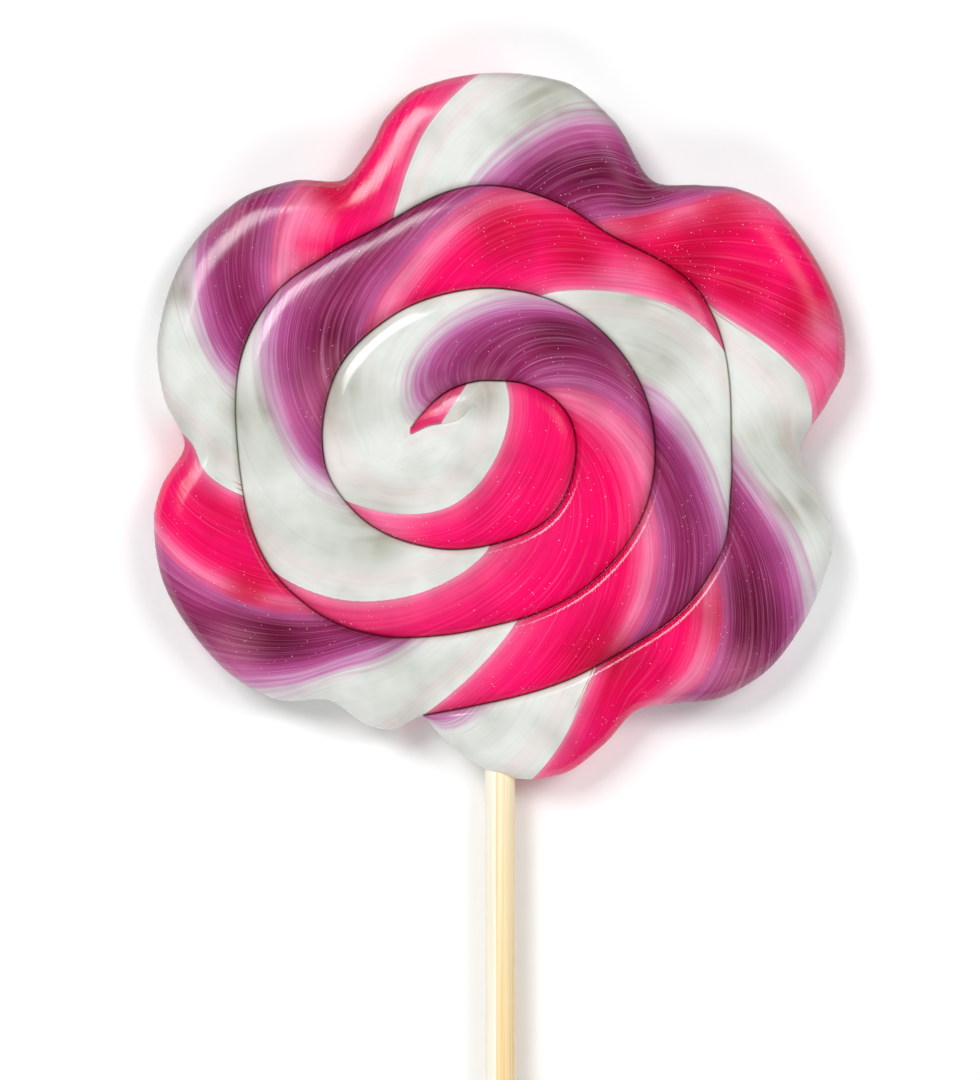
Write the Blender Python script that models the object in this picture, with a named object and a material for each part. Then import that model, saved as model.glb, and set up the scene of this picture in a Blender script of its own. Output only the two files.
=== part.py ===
"""Flower-shaped swirl lollipop: a twisted candy rope coiled flat and pressed, on a bamboo stick.

It lies on its back. The middle of the swirl's flat back is the origin, the shown side faces +Z
and the stick runs towards -Y. Lengths below are in millimetres.
"""

import bisect
import math

import bmesh
import bpy
import numpy as np
from mathutils import Matrix

MM = 0.001

# The rope's outer edge, followed outwards from the middle of the swirl: turned degrees, radius.
# Degrees run clockwise from nine o'clock, as seen from above. The rope at one angle lies between
# the edge one turn earlier, where it meets the turn inside it, and the edge at that angle.
COILED_EDGE = [
    (0, 11.5), (15, 9.8), (30, 8.6), (60, 6.8), (90, 6.0), (120, 6.5), (180, 9.6), (210, 11.2),
    (240, 13.5), (270, 15.2), (300, 18.3), (330, 22.1), (348, 23.4), (375, 22.7), (405, 20.3),
    (435, 18.5), (465, 17.9), (495, 18.3), (540, 20.1), (570, 21.9), (600, 23.7), (630, 25.9),
    (645, 28.3), (660, 31.6), (675, 34.2), (690, 35.3), (715, 34.5), (735, 35.1), (750, 34.3),
    (765, 31.9), (780, 30.6), (803, 31.8), (825, 30.3), (840, 29.0), (868, 31.6), (900, 30.3),
    (915, 31.3), (930, 33.4), (945, 33.9), (960, 33.5), (975, 34.4), (990, 35.9),
]
PETAL_EDGE = [
    (1005, 39.2), (1010, 42.3), (1014, 42.8),
    (1021, 42.2), (1030, 46.5), (1040, 48.3), (1053, 48.8), (1065, 47.1), (1070, 45.2),
    (1077, 41.5), (1085, 44.3), (1095, 46.5), (1107, 47.2), (1120, 45.7), (1130, 42.3),
    (1138, 38.5), (1145, 40.5), (1150, 43.5), (1157, 45.9), (1169, 46.6), (1180, 46.2), (1190, 43.1),
    (1202, 38.1), (1210, 41.5), (1215, 44.3), (1222, 46.4), (1241, 47.2), (1250, 46.0), (1255, 43.5),
    (1264, 39.7), (1270, 41.4), (1275, 44.6), (1281, 46.6), (1300, 47.6), (1310, 46.1), (1318, 42.8),
    (1324, 41.3), (1332, 43.9), (1340, 46.3), (1344, 46.5), (1350, 45.7), (1357, 43.0), (1365, 39.2),
]
# The fold where the rope's own tip laps over the curl, in the middle of the swirl.
FOLD_LINE = [(-13.4, -2.5), (-12.0, -1.3), (-9.4, 0.0), (-7.5, 0.4), (-5.4, 1.0), (-4.2, 2.1), (-3.4, 2.9)]
CAP_MIDDLE = (-1.3, -4.3)

COLUMNS = 96
TURN = 360.0
STEP = TURN / COLUMNS
OUTLINE_START = 1005.0
ROPE_END = 1365.0

THICKNESS_MIDDLE = 9.4
THICKNESS_LOST_AT_RIM = 0.8
HEAD_RADIUS = 47.0
CREASE_DEPTH = 1.1
CREASE_SHOULDER_INSIDE = 2.4
CREASE_SHOULDER_OUTSIDE = 1.0
CROWN_DEPTH = 0.45
CROWN_REACH = 5.0
CREASE_FADE_IN = 25.0
FOLD_DEPTH = 0.5
FOLD_LAP = 1.4
FOLD_DISH = 4.5
RIM_DEPTH = 3.4
RIM_SHOULDER = 5.0
BACK_RIM_HEIGHT = 1.8
BACK_RIM_SHOULDER = 2.0
BACK_CREASE_DEPTH = 0.5
BACK_CREASE_SHOULDER = 0.6
BACK_LAND_INSET = 1.0

# Distances from a turn's two edges at which its surface has points.
TOP_INNER = (0.35, 1.2)
TOP_OUTER_COILED = (2.6, 1.2, 0.35)
TOP_OUTER_RIM = (5.0, 2.4, 0.7)
BACK_INNER = (0.6,)
BACK_OUTER_COILED = (1.2, 0.6)
BACK_OUTER_RIM = (2.0, 0.6)
CAP_RINGS_NEAR_EDGE = (0.35, 1.2)
CAP_RING_SHARES = (0.8, 0.6, 0.4, 0.2)

STICK_DIAMETER = 4.0
STICK_LENGTH = 150.0
STICK_INSIDE = 46.0
STICK_HEIGHT = 4.4
STICK_SIDES = 24
STICK_CHAMFER = 0.3
BORE_CLEARANCE = 0.3


def smooth_through(knots):
    """A function through the knots that never swings past them: a monotone cubic."""
    xs = [x for x, _ in knots]
    ys = [y for _, y in knots]
    slopes = [(ys[i + 1] - ys[i]) / (xs[i + 1] - xs[i]) for i in range(len(xs) - 1)]
    tangents = [slopes[0]]
    for before, after in zip(slopes, slopes[1:]):
        rising = before * after > 0
        tangents.append(2 * before * after / (before + after) if rising else 0.0)
    tangents.append(slopes[-1])

    def value(x):
        i = min(max(bisect.bisect_right(xs, x) - 1, 0), len(xs) - 2)
        width = xs[i + 1] - xs[i]
        u = (x - xs[i]) / width
        rise = ys[i + 1] - ys[i]
        return (
            ys[i]
            + rise * u * u * (3 - 2 * u)
            + width * tangents[i] * u * (1 - u) ** 2
            - width * tangents[i + 1] * u * u * (1 - u)
        )

    return value


EDGE_RADIUS = smooth_through(COILED_EDGE + PETAL_EDGE)


def on_clock(degrees, radius):
    angle = math.radians(degrees)
    return (-radius * math.cos(angle), radius * math.sin(angle))


def edge_line(first, last, step=1.5):
    count = round((last - first) / step)
    angles = [first + (last - first) * i / count for i in range(count + 1)]
    return np.array([on_clock(angle, EDGE_RADIUS(angle)) for angle in angles])


def smooth_line(points, pieces=6):
    """A Catmull-Rom curve through the points, as short runs."""
    knots = np.array([points[0], *points, points[-1]], float)
    line = [knots[1]]
    for before, start, end, after in zip(knots, knots[1:], knots[2:], knots[3:]):
        for u in np.arange(1, pieces + 1) / pieces:
            line.append(
                0.5
                * (
                    2 * start
                    + (end - before) * u
                    + (2 * before - 5 * start + 4 * end - after) * u * u
                    + (3 * start - before - 3 * end + after) * u**3
                )
            )
    return np.array(line)


CREASE = edge_line(0, OUTLINE_START)
OUTLINE = edge_line(OUTLINE_START, ROPE_END, 0.5)
# What the sixth power sums to along a straight edge.
RIM_POWER_SHARE = 3 * math.pi / 8
FOLD = smooth_line(FOLD_LINE)


def distance_to(line, points):
    """Each point's distance to a line of short runs, how far along that is, 0 to 1, and its side, left +1."""
    starts = line[:-1]
    runs = line[1:] - starts
    across = points[:, None, :] - starts[None, :, :]
    along = np.clip((across * runs).sum(axis=2) / (runs * runs).sum(axis=1), 0, 1)
    gaps = np.linalg.norm(across - along[:, :, None] * runs, axis=2)
    nearest = gaps.argmin(axis=1)
    rows = np.arange(len(points))
    run = runs[nearest]
    offset = across[rows, nearest]
    side = np.sign(run[:, 0] * offset[:, 1] - run[:, 1] * offset[:, 0])
    return gaps[rows, nearest], (nearest + along[rows, nearest]) / len(runs), side


def rim_gap(points, nearest, batch=4000):
    """Distance to the rim, eased in narrow petals, so that they are pillowed without a ridge.

    It sums a high power over the whole outline. Along a straight edge that is the plain distance.
    """
    middles = (OUTLINE[1:] + OUTLINE[:-1]) / 2
    weights = np.linalg.norm(OUTLINE[1:] - OUTLINE[:-1], axis=1) / RIM_POWER_SHARE
    gaps = []
    for first in range(0, len(points), batch):
        across = points[first : first + batch, None, :] - middles[None, :, :]
        squares = (across * across).sum(axis=2) + 1e-6
        # A distance to the power -6, summed along a line, falls off with the power -5.
        gaps.append(((squares**-3) @ weights) ** -0.2)
    return np.minimum(nearest, np.concatenate(gaps))


def rounded_drop(distance, reach):
    """How far a quarter-round shoulder has dropped, 0 past its reach and 1 at the edge."""
    inside = np.clip(1 - distance / reach, 0, 1)
    return 1 - np.sqrt(1 - inside * inside)


def top_height(points):
    to_crease, along_crease, side = distance_to(CREASE, points)
    to_rim = rim_gap(points, distance_to(OUTLINE, points)[0])
    to_fold, along_fold, fold_side = distance_to(FOLD, points)
    fade = np.clip(along_crease * OUTLINE_START / CREASE_FADE_IN, 0, 1)
    shoulder = np.where(side < 0, CREASE_SHOULDER_INSIDE, CREASE_SHOULDER_OUTSIDE)
    crease = CREASE_DEPTH * fade * rounded_drop(to_crease, shoulder)
    crown = CROWN_DEPTH * fade * np.clip(1 - to_crease / CROWN_REACH, 0, 1) ** 2
    fold_fade = np.sqrt(np.clip(4 * along_fold * (1 - along_fold), 0, 1))
    fold_reach = np.where(fold_side > 0, FOLD_LAP, FOLD_DISH)
    fold = FOLD_DEPTH * fold_fade * np.clip(1 - to_fold / fold_reach, 0, 1) ** 2
    rim = RIM_DEPTH * rounded_drop(to_rim, RIM_SHOULDER)
    middle = THICKNESS_MIDDLE - THICKNESS_LOST_AT_RIM * (np.linalg.norm(points, axis=1) / HEAD_RADIUS) ** 2
    return middle - np.maximum(crease, fold) - crown * (1 - rim / RIM_DEPTH) - rim


def back_height(points):
    to_crease, _, _ = distance_to(CREASE, points)
    to_rim, _, _ = distance_to(OUTLINE, points)
    crease = BACK_CREASE_DEPTH * np.clip(1 - to_crease / BACK_CREASE_SHOULDER, 0, 1)
    rim = BACK_RIM_HEIGHT * rounded_drop(to_rim, BACK_RIM_SHOULDER)
    return np.maximum(crease, rim)


class Surface:
    """One side of the pressed swirl: turns of rope laid side by side, round a cap in the middle."""

    def __init__(self, bm, height, inner, outer_coiled, outer_rim):
        self.bm = bm
        self.height = height
        self.inner = inner
        self.outer_coiled = outer_coiled
        self.outer_rim = outer_rim
        self.last = round(ROPE_END / STEP)
        self.edge = self.add([on_clock(k * STEP, EDGE_RADIUS(k * STEP)) for k in range(self.last)])
        self.edge.append(self.edge[self.last - COLUMNS])
        self.columns = {k: self.column(k) for k in range(COLUMNS, self.last)}
        self.lay_rope()

    def add(self, places, height=None):
        points = np.array(places)
        heights = self.height(points) if height is None else [height] * len(points)
        return [self.bm.verts.new((x * MM, y * MM, z * MM)) for (x, y), z in zip(points, heights)]

    def column(self, k):
        """The points across the rope at one angle, from the turn inside it to its own edge."""
        degrees = k * STEP
        inside = EDGE_RADIUS(degrees - TURN)
        outside = EDGE_RADIUS(degrees)
        width = outside - inside
        outer = self.outer_rim if degrees > OUTLINE_START else self.outer_coiled
        shrink = min(1.0, 0.9 * width / (self.inner[-1] + outer[0]))
        radii = [inside + offset * shrink for offset in self.inner]
        if len(self.inner) > 1:
            radii.append((inside + self.inner[-1] * shrink + outside - outer[0] * shrink) / 2)
        radii += [outside - offset * shrink for offset in outer]
        between = self.add([on_clock(degrees, radius) for radius in radii])
        return [self.edge[k - COLUMNS], *between, self.edge[k]]

    def lay_rope(self):
        for k in range(COLUMNS, self.last - 1):
            here = self.columns[k]
            ahead = self.columns[k + 1]
            for j in range(len(here) - 1):
                self.bm.faces.new((here[j], ahead[j], ahead[j + 1], here[j + 1]))
        tail = self.columns[self.last - 1]
        for near, far in zip(tail, tail[1:]):
            self.bm.faces.new((near, self.edge[self.last], far))

    def cap_loop(self):
        return self.edge[: COLUMNS + 1] + self.columns[COLUMNS][-2:0:-1]

    def ring_inside(self, loop, inset=None, share=None, height=None):
        places = []
        for vert in loop:
            x = vert.co.x / MM - CAP_MIDDLE[0]
            y = vert.co.y / MM - CAP_MIDDLE[1]
            scale = share if inset is None else 1 - inset / math.hypot(x, y)
            places.append((CAP_MIDDLE[0] + x * scale, CAP_MIDDLE[1] + y * scale))
        return self.add(places, height)

    def join_rings(self, outer, inner):
        for i in range(len(outer)):
            j = (i + 1) % len(outer)
            self.bm.faces.new((outer[i], outer[j], inner[j], inner[i]))

    def outline(self):
        return self.edge[self.last - COLUMNS : self.last]


def make_candy():
    bm = bmesh.new()
    top = Surface(bm, top_height, TOP_INNER, TOP_OUTER_COILED, TOP_OUTER_RIM)
    loop = top.cap_loop()
    ring = loop
    for inset in CAP_RINGS_NEAR_EDGE:
        inside = top.ring_inside(loop, inset=inset)
        top.join_rings(ring, inside)
        ring = inside
    for share in CAP_RING_SHARES:
        inside = top.ring_inside(loop, share=share)
        top.join_rings(ring, inside)
        ring = inside
    middle = top.add([CAP_MIDDLE])[0]
    for i in range(len(ring)):
        bm.faces.new((ring[i], ring[(i + 1) % len(ring)], middle))

    back = Surface(bm, back_height, BACK_INNER, BACK_OUTER_COILED, BACK_OUTER_RIM)
    loop = back.cap_loop()
    land = back.ring_inside(loop, inset=BACK_LAND_INSET, height=0.0)
    back.join_rings(loop, land)
    bm.faces.new(land)

    top.join_rings(top.outline(), back.outline())
    bmesh.ops.recalc_face_normals(bm, faces=bm.faces)
    mesh = bpy.data.meshes.new("candy_swirl")
    bm.to_mesh(mesh)
    bm.free()
    mesh.shade_smooth()
    candy = bpy.data.objects.new("candy_swirl", mesh)
    bpy.context.scene.collection.objects.link(candy)
    return candy


def make_rod(name, diameter, far_end, near_end, chamfer=0.0):
    """A round rod along Y at the stick's height, between two places on Y."""
    length = near_end - far_end
    bm = bmesh.new()
    bmesh.ops.create_cone(
        bm,
        cap_ends=True,
        segments=STICK_SIDES,
        radius1=diameter / 2 * MM,
        radius2=diameter / 2 * MM,
        depth=length * MM,
        matrix=Matrix.Rotation(math.radians(90), 4, "X"),
    )
    mesh = bpy.data.meshes.new(name)
    bm.to_mesh(mesh)
    bm.free()
    mesh.shade_smooth()
    mesh.set_sharp_from_angle(angle=math.radians(40))
    rod = bpy.data.objects.new(name, mesh)
    rod.location = (0, (far_end + near_end) / 2 * MM, STICK_HEIGHT * MM)
    bpy.context.scene.collection.objects.link(rod)
    if chamfer:
        bevel = rod.modifiers.new("Cut ends", "BEVEL")
        bevel.width = chamfer * MM
        bevel.segments = 1
        bevel.limit_method = "ANGLE"
        bevel.angle_limit = math.radians(60)
    return rod


def bore_for_stick(candy, bottom):
    """The hole that the stick was set in while the candy was warm."""
    mouth = bottom - BORE_CLEARANCE * 20
    end = bottom + STICK_INSIDE + BORE_CLEARANCE
    cutter = make_rod("stick_bore", STICK_DIAMETER + 2 * BORE_CLEARANCE, mouth, end)
    cutter.hide_render = True
    cutter.display_type = "WIRE"
    cut = candy.modifiers.new("Stick bore", "BOOLEAN")
    cut.operation = "DIFFERENCE"
    cut.solver = "EXACT"
    cut.object = cutter


def finish(name, rgb, roughness, coat):
    material = bpy.data.materials.new(name)
    material.use_nodes = True
    shader = material.node_tree.nodes["Principled BSDF"]
    shader.inputs["Base Color"].default_value = (*rgb, 1)
    shader.inputs["Roughness"].default_value = roughness
    shader.inputs["Metallic"].default_value = 0.0
    shader.inputs["Coat Weight"].default_value = coat
    material.diffuse_color = (*rgb, 1)
    return material


def main():
    for obj in list(bpy.data.objects):
        bpy.data.objects.remove(obj, do_unlink=True)
    candy = make_candy()
    candy.data.materials.append(finish("boiled_sugar", (0.72, 0.03, 0.17), 0.15, 0.5))
    bottom = -EDGE_RADIUS(ROPE_END - 15)
    bore_for_stick(candy, bottom)
    near_end = bottom + STICK_INSIDE
    stick = make_rod("bamboo_stick", STICK_DIAMETER, near_end - STICK_LENGTH, near_end, STICK_CHAMFER)
    stick.data.materials.append(finish("bamboo", (0.86, 0.72, 0.45), 0.55, 0.0))


main()
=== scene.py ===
"""Looks of a flower-shaped swirl lollipop: pulled and twisted boiled sugar on a bamboo stick."""

import bisect
import math
from types import SimpleNamespace

import bpy
import numpy as np
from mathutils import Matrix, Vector


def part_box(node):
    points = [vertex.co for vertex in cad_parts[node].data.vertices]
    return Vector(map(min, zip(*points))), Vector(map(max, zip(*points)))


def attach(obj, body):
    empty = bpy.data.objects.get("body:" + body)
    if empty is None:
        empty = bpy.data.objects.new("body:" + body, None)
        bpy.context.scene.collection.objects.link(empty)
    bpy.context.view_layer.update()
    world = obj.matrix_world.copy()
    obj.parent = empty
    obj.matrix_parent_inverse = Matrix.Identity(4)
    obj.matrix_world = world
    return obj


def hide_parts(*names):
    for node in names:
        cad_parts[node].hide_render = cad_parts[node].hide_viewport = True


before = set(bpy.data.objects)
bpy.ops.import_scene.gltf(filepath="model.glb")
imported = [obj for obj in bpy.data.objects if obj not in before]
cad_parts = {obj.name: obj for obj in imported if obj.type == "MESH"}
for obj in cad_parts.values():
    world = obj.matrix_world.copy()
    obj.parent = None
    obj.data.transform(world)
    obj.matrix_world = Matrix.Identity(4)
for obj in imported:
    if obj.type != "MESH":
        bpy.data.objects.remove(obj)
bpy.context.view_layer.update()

MM = 0.001
TURN = 360.0

# The rope's outer edge, followed outwards from the middle of the swirl: turned degrees, radius in mm.
# Degrees run clockwise from nine o'clock, as seen from above. The rope at one angle lies between
# the edge one turn earlier, where it meets the turn inside it, and the edge at that angle.
COILED_EDGE = [
    (0, 11.5), (15, 9.8), (30, 8.6), (60, 6.8), (90, 6.0), (120, 6.5), (180, 9.6), (210, 11.2),
    (240, 13.5), (270, 15.2), (300, 18.3), (330, 22.1), (348, 23.4), (375, 22.7), (405, 20.3),
    (435, 18.5), (465, 17.9), (495, 18.3), (540, 20.1), (570, 21.9), (600, 23.7), (630, 25.9),
    (645, 28.3), (660, 31.6), (675, 34.2), (690, 35.3), (715, 34.5), (735, 35.1), (750, 34.3),
    (765, 31.9), (780, 30.6), (803, 31.8), (825, 30.3), (840, 29.0), (868, 31.6), (900, 30.3),
    (915, 31.3), (930, 33.4), (945, 33.9), (960, 33.5), (975, 34.4), (990, 35.9),
]
PETAL_EDGE = [
    (1005, 39.2), (1010, 42.3), (1014, 42.8),
    (1021, 42.2), (1030, 46.5), (1040, 48.3), (1053, 48.8), (1065, 47.1), (1070, 45.2),
    (1077, 41.5), (1085, 44.3), (1095, 46.5), (1107, 47.2), (1120, 45.7), (1130, 42.3),
    (1138, 38.5), (1145, 40.5), (1150, 43.5), (1157, 45.9), (1169, 46.6), (1180, 46.2), (1190, 43.1),
    (1202, 38.1), (1210, 41.5), (1215, 44.3), (1222, 46.4), (1241, 47.2), (1250, 46.0), (1255, 43.5),
    (1264, 39.7), (1270, 41.4), (1275, 44.6), (1281, 46.6), (1300, 47.6), (1310, 46.1), (1318, 42.8),
    (1324, 41.3), (1332, 43.9), (1340, 46.3), (1344, 46.5), (1350, 45.7), (1357, 43.0), (1365, 39.2),
]
# The fold where the rope's own tip laps over the curl, in the middle of the swirl.
FOLD_LINE = [(-13.4, -2.5), (-12.0, -1.3), (-9.4, 0.0), (-7.5, 0.4), (-5.4, 1.0), (-4.2, 2.1), (-3.4, 2.9)]
CAP_MIDDLE = (-1.3, -4.3)
OUTLINE_START = 1005.0
ROPE_END = 1365.0

# Where one stripe gives way to the next: turned degrees at the rope's inner edge, at its outer edge,
# and how late in the crossing it sweeps round. They run white, purple, pink, over and over, and the
# first is the one from pink to white in the first turn.
STRIPES_START = 3
STRIPES = [
    (288, 332, 0.8), (380, 490, 1.7), (498, 550, 0.75), (635, 688, 1.3), (705, 757, 1.25),
    (755, 812, 1.1), (827, 882, 1.0), (893, 930, 1.1), (926, 962, 1.0), (985, 1005, 1.0),
    (1015, 1036, 1.0), (1035, 1063, 1.0), (1065, 1079, 1.0), (1092, 1114, 1.4), (1110, 1132, 1.0),
    (1143, 1167, 1.2), (1167, 1192, 1.0), (1195, 1216, 1.0), (1229, 1260, 0.75), (1270, 1294, 1.0),
    (1293, 1319, 1.0), (1328, 1345, 1.0), (1358, 1368, 1.0),
]
# The first curl has its own sweep of pink. This is its edge against the white, in mm.
CURL_PINK_EDGE = [
    (-23.5, -8.0), (-20.4, -9.5), (-16.0, -11.0), (-11.0, -11.4), (-6.8, -10.5), (-3.5, -8.2),
    (-1.2, -5.2), (0.4, -1.8), (1.2, 2.0), (0.8, 5.5), (-0.4, 8.5),
]
CURL_STRIPE_WIDTH = 13.0
# The rope's tip shows its pink side, from its own start up to this line.
TIP_START_X = -12.0
TIP_PINK_EDGE = ((-8.2, -0.4), (-3.9, 6.2))
TIP_STRIPE_WIDTH = 5.0
TIP_WHITE_MOST = 3.6

# Places where pink and purple are clear and deep: x, y, reach in mm.
DEEP_PLACES = [
    (1.0, 25.8, 7.0), (9.5, 23.5, 6.0), (24.9, 21.9, 10.0), (39.3, 15.3, 6.0), (-35.0, -8.5, 8.0),
    (13.1, -31.5, 9.0), (-22.0, 31.0, 5.0), (31.0, 18.0, 7.0), (-32.8, -21.4, 5.0),
    (11.8, 33.7, 6.0), (7.9, 12.7, 6.0), (32.1, -25.3, 9.0), (-30.1, -27.9, 8.0), (-20.3, 10.1, 7.0),
    (18.3, 28.1, 7.0), (29.0, 27.5, 7.0), (5.2, 35.0, 6.0),
]
# Places where the sugar holds more air, so the white is grey and pink and purple are pale. Some are painted
# light and shade: pale painted highlights and lit rims in the pink and purple, and grey painted shade in the
# fold's dimple and on the top lobe's right shoulder.
AIRY_AND_PAINTED_LIGHT_PLACES = [
    (6.5, 42.5, 8.5), (-21.6, 4.2, 8.0), (-2.6, 4.4, 5.0), (16.5, 17.5, 6.5), (-31.2, 0.9, 8.0),
    (38.0, -10.0, 6.0), (36.5, -4.0, 8.0), (-41.5, 18.5, 4.0), (20.5, 10.5, 7.0), (-17.0, -13.0, 8.0),
    (43.9, 12.7, 5.0), (42.0, 6.5, 5.0), (-24.9, 27.1, 4.0), (-35.4, -29.9, 6.0), (31.4, -33.1, 6.0),
    (-26.2, 19.9, 5.0), (-36.4, 26.9, 5.0), (-7.5, 3.6, 3.5), (-4.3, 2.5, 2.2), (14.7, 40.5, 4.5),
]

# The head's thickness, creases, fold and rim, in mm. A crease is steeper on the side of the turn outside it.
THICKNESS_MIDDLE = 9.4
THICKNESS_LOST_AT_RIM = 0.8
HEAD_RADIUS = 47.0
CREASE_DEPTH = 1.1
CREASE_SHOULDER_INSIDE = 2.4
CREASE_SHOULDER_OUTSIDE = 1.0
CROWN_DEPTH = 0.45
CROWN_REACH = 5.0
CREASE_FADE_IN = 25.0
FOLD_DEPTH = 0.5
FOLD_LAP = 1.4
FOLD_DISH = 4.5
RIM_DEPTH = 3.4
RIM_SHOULDER = 5.0
BACK_RIM_HEIGHT = 1.8
BACK_RIM_SHOULDER = 2.0
BACK_CREASE_DEPTH = 0.5
BACK_CREASE_SHOULDER = 0.6

# How fine the skin is: columns round one turn, points across the rope, rings in the cap and in the wall.
COLUMNS = 432
STEP = TURN / COLUMNS
TOP_ACROSS = 34
BACK_ACROSS = 8
TOP_CAP_RINGS = 70
BACK_CAP_RINGS = 6
SIDE_RINGS = 8
# How far the points across the rope crowd towards its edges, and the cap's rings towards its rim.
CLOSER_AT_EDGES = 0.45
CAP_SPACING = 1.15
# The stripes twist on round the side wall, by this share of their crossing, and from there on to the back.
TWIST_ON = 0.25
TWIST_ON_FROM = 900.0
# The finer surface is scaled by this, so that it stays inside the box of the coarser solid.
INSIDE_BOX = 0.999
INSIDE_TOP = 0.99
# The fold's painted shade, a dark line, is thinner and paler than a crease's, and more so towards its ends.
FOLD_THIN = 1.6
FOLD_PALE = 0.06
FOLD_END_PALE = 0.14
# A stripe's length in mm, for each full crossing of the rope and for each degree of turn.
ALONG_CROSSING = 12.0
ALONG_DEGREE = 0.12
CURL_LENGTH = 40.0
# The stripe before the first listed one sweeps past in this many degrees.
FIRST_SWEEP = 45.0
# From this turn on, over so many degrees, the curl's stripes give way to the rope's own, outwards
# from half the way to the edge.
ROPE_STRIPES_FROM = 325
ROPE_STRIPES_OVER = 30
ROPE_STRIPES_INSIDE = 0.5
ROPE_STRIPES_FADE = 0.25
# A corner of the cap is read this share of the way nearer its middle, clear of where a turn ends.
CAP_NUDGE = 0.002
# A place's strength is whole out to a tenth of its reach, and gone a tenth past it.
PLACE_EDGE = 1.1
# Squared distances to the rim's pieces are never quite 0.
LEAST_SQUARE = 1e-6


def rgb(code):
    """An sRGB hex colour as linear values."""
    parts = [int(code[i : i + 2], 16) / 255 for i in (0, 2, 4)]
    return tuple(c / 12.92 if c <= 0.04045 else ((c + 0.055) / 1.055) ** 2.4 for c in parts) + (1.0,)


def smooth_through(knots):
    """A function through the knots that never swings past them: a monotone cubic."""
    xs = [x for x, _ in knots]
    ys = [y for _, y in knots]
    slopes = [(ys[i + 1] - ys[i]) / (xs[i + 1] - xs[i]) for i in range(len(xs) - 1)]
    tangents = [slopes[0]]
    for before, after in zip(slopes, slopes[1:]):
        rising = before * after > 0
        tangents.append(2 * before * after / (before + after) if rising else 0.0)
    tangents.append(slopes[-1])

    def value(x):
        i = min(max(bisect.bisect_right(xs, x) - 1, 0), len(xs) - 2)
        width = xs[i + 1] - xs[i]
        u = (x - xs[i]) / width
        rise = ys[i + 1] - ys[i]
        return (
            ys[i]
            + rise * u * u * (3 - 2 * u)
            + width * tangents[i] * u * (1 - u) ** 2
            - width * tangents[i + 1] * u * u * (1 - u)
        )

    return value


def smooth_line(points, pieces=6):
    """A Catmull-Rom curve through the points, as short runs."""
    knots = np.array([points[0], *points, points[-1]], float)
    line = [knots[1]]
    for before, start, end, after in zip(knots, knots[1:], knots[2:], knots[3:]):
        bend = 2 * before - 5 * start + 4 * end - after
        twist = 3 * start - before - 3 * end + after
        for u in np.arange(1, pieces + 1) / pieces:
            line.append((2 * start + (end - before) * u + bend * u * u + twist * u**3) / 2)
    return np.array(line)


EDGE_RADIUS = smooth_through(COILED_EDGE + PETAL_EDGE)


def on_clock(degrees, radius):
    angle = math.radians(degrees)
    return (-radius * math.cos(angle), radius * math.sin(angle))


def edge_line(first, last, step=1.0):
    count = round((last - first) / step)
    angles = [first + (last - first) * i / count for i in range(count + 1)]
    return np.array([on_clock(angle, EDGE_RADIUS(angle)) for angle in angles])


CREASE = edge_line(0, OUTLINE_START)
OUTLINE = edge_line(OUTLINE_START, ROPE_END, 0.5)
# What the distance to the power -6 sums to along a straight edge, next to the distance to the power -5.
RIM_POWER_SHARE = 3 * math.pi / 8
FOLD = smooth_line(FOLD_LINE)
CURL_EDGE = smooth_line(CURL_PINK_EDGE)


def distance_to(line, points, batch=4000):
    """Each point's distance to a line of short runs, how far along that is, 0 to 1, and its side, left +1."""
    line = np.asarray(line, float)
    starts = line[:-1]
    runs = line[1:] - starts
    lengths = (runs * runs).sum(axis=1)
    gaps = []
    places = []
    sides = []
    for first in range(0, len(points), batch):
        part = points[first : first + batch]
        across = part[:, None, :] - starts[None, :, :]
        along = np.clip((across * runs).sum(axis=2) / lengths, 0, 1)
        away = across - along[:, :, None] * runs
        squares = (away * away).sum(axis=2)
        nearest = squares.argmin(axis=1)
        rows = np.arange(len(part))
        gaps.append(np.sqrt(squares[rows, nearest]))
        places.append((nearest + along[rows, nearest]) / len(runs))
        run = runs[nearest]
        offset = across[rows, nearest]
        sides.append(np.sign(run[:, 0] * offset[:, 1] - run[:, 1] * offset[:, 0]))
    return np.concatenate(gaps), np.concatenate(places), np.concatenate(sides)


def rim_gap(points, nearest, batch=4000):
    """Distance to the rim, eased in narrow petals, so that they are pillowed without a ridge.

    It sums a high power over the whole outline. Along a straight edge that is the plain distance.
    """
    middles = (OUTLINE[1:] + OUTLINE[:-1]) / 2
    weights = np.linalg.norm(OUTLINE[1:] - OUTLINE[:-1], axis=1) / RIM_POWER_SHARE
    gaps = []
    for first in range(0, len(points), batch):
        across = points[first : first + batch, None, :] - middles[None, :, :]
        squares = (across * across).sum(axis=2) + LEAST_SQUARE
        # A distance to the power -6, summed along a line, falls off with the power -5.
        gaps.append(((squares**-3) @ weights) ** -0.2)
    return np.minimum(nearest, np.concatenate(gaps))


def rounded_drop(distance, reach):
    """How far a quarter-round shoulder has dropped, 0 past its reach and 1 at the edge."""
    inside = np.clip(1 - distance / reach, 0, 1)
    return 1 - np.sqrt(1 - inside * inside)


def eased(value):
    """0 below 0, 1 above 1, and a smooth S between."""
    held = np.clip(value, 0, 1)
    return held * held * (3 - 2 * held)


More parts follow.
